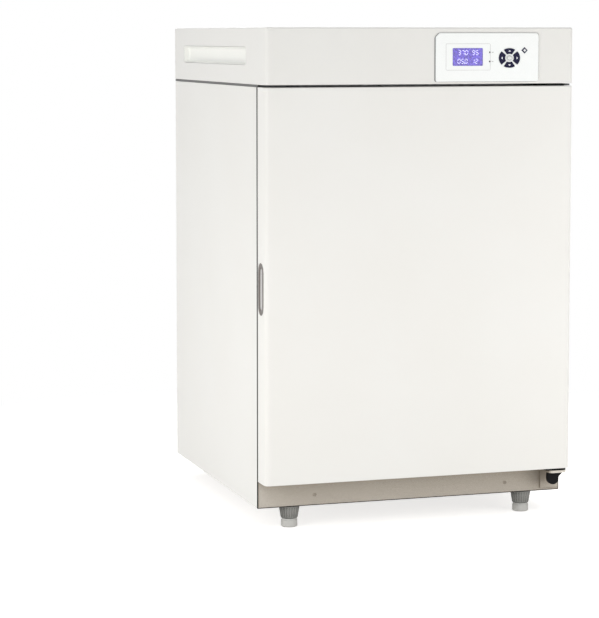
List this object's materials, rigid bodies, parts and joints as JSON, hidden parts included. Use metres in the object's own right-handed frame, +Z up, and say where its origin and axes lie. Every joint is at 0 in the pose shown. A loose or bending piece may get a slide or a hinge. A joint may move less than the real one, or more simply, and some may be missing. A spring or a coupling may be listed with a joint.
{
  "type": "carbon dioxide incubator",
  "caption": "Bench cabinet incubator with a hinged insulated door, an inner glass door, a steel chamber with sliding shelves and a hood that carries the controls.",
  "frame": {"origin": "on the floor under the middle of the whole object's box", "axes": "+Z up, -Y out of the door's front face, +X towards the hinge side"},
  "size_m": [0.65, 0.724, 0.998],
  "materials": {
    "white_paint": "satin",
    "frame_paint": "satin",
    "panel_plastic": "satin",
    "stainless_steel": "satin",
    "zinc_steel": "satin",
    "aluminium": "satin",
    "brass": "satin",
    "black_plastic": "matte",
    "navy_keys": "satin",
    "grey_key": "satin",
    "grey_plastic": "matte",
    "grip_metal": "satin",
    "foot_rubber": "matte",
    "silicone": "matte",
    "door_seal": "matte",
    "insulation": "matte",
    "circuit_board": "satin",
    "lamp_lens": "gloss",
    "door_glass": "polished",
    "display_clear": "polished",
    "display_backlight": "satin"
  },
  "bodies": {
    "cabinet": {"side_panel_left": "white_paint", "side_panel_right": "white_paint", "rear_panel": "white_paint", "hood_shell": "white_paint", "hinge_bracket_lower": "white_paint", "front_frame": "frame_paint", "control_panel": "panel_plastic", "inner_chamber": "stainless_steel", "rail_left": "stainless_steel", "rail_right": "stainless_steel", "water_pan": "stainless_steel", "fan_shroud": "stainless_steel", "base_pan": "zinc_steel", "top_deck": "zinc_steel", "power_supply": "zinc_steel", "hinge_bracket_upper": "zinc_steel", "inner_hinge_upper": "zinc_steel", "inner_hinge_lower": "zinc_steel", "gas_valve": "brass", "fan_motor": "black_plastic", "power_inlet": "black_plastic", "hinge_cover_lower": "black_plastic", "co2_sensor": "grey_key", "port_sleeve": "grey_plastic", "chamber_gasket": "silicone", "port_stopper": "silicone", "insulation_jacket": "insulation", "control_board": "circuit_board", "led_upper": "lamp_lens", "led_lower": "lamp_lens", "display_window": "display_clear", "lcd_module": "display_backlight"},
    "outer_door": {"door_skin": "white_paint", "door_liner": "white_paint", "door_insulation": "insulation", "door_gasket": "door_seal", "grip_cup": "grip_metal", "door_hinge_shoe": "black_plastic"},
    "glass_door": {"inner_glass_door": "door_glass", "glass_edge_rail": "aluminium", "glass_door_knob": "black_plastic"},
    "shelf_lower_tray": {"shelf_lower": "stainless_steel"},
    "shelf_middle_tray": {"shelf_middle": "stainless_steel"},
    "shelf_upper_tray": {"shelf_upper": "stainless_steel"},
    "fan_wheel": {"fan_impeller": "aluminium"},
    "power_rocker": {"power_switch": "black_plastic"},
    "button_up": {"key_up": "navy_keys"},
    "button_right": {"key_right": "navy_keys"},
    "button_down": {"key_down": "navy_keys"},
    "button_left": {"key_left": "navy_keys"},
    "button_centre": {"key_centre": "grey_key"},
    "button_small": {"key_small": "navy_keys"},
    "foot_front_left": {"foot_collar_front_left": "grey_plastic", "foot_pad_front_left": "foot_rubber"},
    "foot_front_right": {"foot_collar_front_right": "grey_plastic", "foot_pad_front_right": "foot_rubber"},
    "foot_rear_left": {"foot_collar_rear_left": "grey_plastic", "foot_pad_rear_left": "foot_rubber"},
    "foot_rear_right": {"foot_collar_rear_right": "grey_plastic", "foot_pad_rear_right": "foot_rubber"}
  },
  "joints": [
    {"name": "outer_door_hinge", "type": "hinge", "parent": "cabinet", "child": "outer_door", "pos_m": [0.311, -0.333, 0.49], "axis": [0, 0, 1], "range_deg": [0, 120]},
    {"name": "glass_door_hinge", "type": "hinge", "parent": "cabinet", "child": "glass_door", "pos_m": [0.27, -0.292, 0.475], "axis": [0, 0, 1], "range_deg": [0, 96]},
    {"name": "shelf_lower_slide", "type": "slide", "parent": "cabinet", "child": "shelf_lower_tray", "axis": [0, -1, 0], "range_m": [0, 0.1152]},
    {"name": "shelf_middle_slide", "type": "slide", "parent": "cabinet", "child": "shelf_middle_tray", "axis": [0, -1, 0], "range_m": [0, 0.1152]},
    {"name": "shelf_upper_slide", "type": "slide", "parent": "cabinet", "child": "shelf_upper_tray", "axis": [0, -1, 0], "range_m": [0, 0.1152]},
    {"name": "fan_spin", "type": "hinge", "parent": "cabinet", "child": "fan_wheel", "pos_m": [0, -0.0187, 0.793], "axis": [0, 0, 1], "continuous": true},
    {"name": "press_up", "type": "slide", "parent": "cabinet", "child": "button_up", "axis": [0, 1, 0], "range_m": [0, 0.0008], "stiffness_N_per_m": 900, "springref_m": -0.0005},
    {"name": "press_right", "type": "slide", "parent": "cabinet", "child": "button_right", "axis": [0, 1, 0], "range_m": [0, 0.0008], "stiffness_N_per_m": 900, "springref_m": -0.0005},
    {"name": "press_down", "type": "slide", "parent": "cabinet", "child": "button_down", "axis": [0, 1, 0], "range_m": [0, 0.0008], "stiffness_N_per_m": 900, "springref_m": -0.0005},
    {"name": "press_left", "type": "slide", "parent": "cabinet", "child": "button_left", "axis": [0, 1, 0], "range_m": [0, 0.0008], "stiffness_N_per_m": 900, "springref_m": -0.0005},
    {"name": "press_centre", "type": "slide", "parent": "cabinet", "child": "button_centre", "axis": [0, 1, 0], "range_m": [0, 0.0008], "stiffness_N_per_m": 900, "springref_m": -0.0005},
    {"name": "press_small", "type": "slide", "parent": "cabinet", "child": "button_small", "axis": [0, 1, 0], "range_m": [0, 0.0008], "stiffness_N_per_m": 900, "springref_m": -0.0005},
    {"name": "power_rocker_turn", "type": "hinge", "parent": "cabinet", "child": "power_rocker", "pos_m": [-0.23, 0.3388, 0.952], "axis": [1, 0, 0], "range_deg": [-16, 0]},
    {"name": "foot_front_left_screw", "type": "slide", "parent": "cabinet", "child": "foot_front_left", "axis": [0, 0, -1], "range_m": [0, 0.01]},
    {"name": "foot_front_right_screw", "type": "slide", "parent": "cabinet", "child": "foot_front_right", "axis": [0, 0, -1], "range_m": [0, 0.01]},
    {"name": "foot_rear_left_screw", "type": "slide", "parent": "cabinet", "child": "foot_rear_left", "axis": [0, 0, -1], "range_m": [0, 0.01]},
    {"name": "foot_rear_right_screw", "type": "slide", "parent": "cabinet", "child": "foot_rear_right", "axis": [0, 0, -1], "range_m": [0, 0.01]}
  ],
  "couplings": [
    {"joint": "glass_door_hinge", "follows": "outer_door_hinge", "ratio": 0.8},
    {"joint": "shelf_lower_slide", "follows": "outer_door_hinge", "m_per_rad": 0.055},
    {"joint": "shelf_middle_slide", "follows": "outer_door_hinge", "m_per_rad": 0.055},
    {"joint": "shelf_upper_slide", "follows": "outer_door_hinge", "m_per_rad": 0.055}
  ]
}
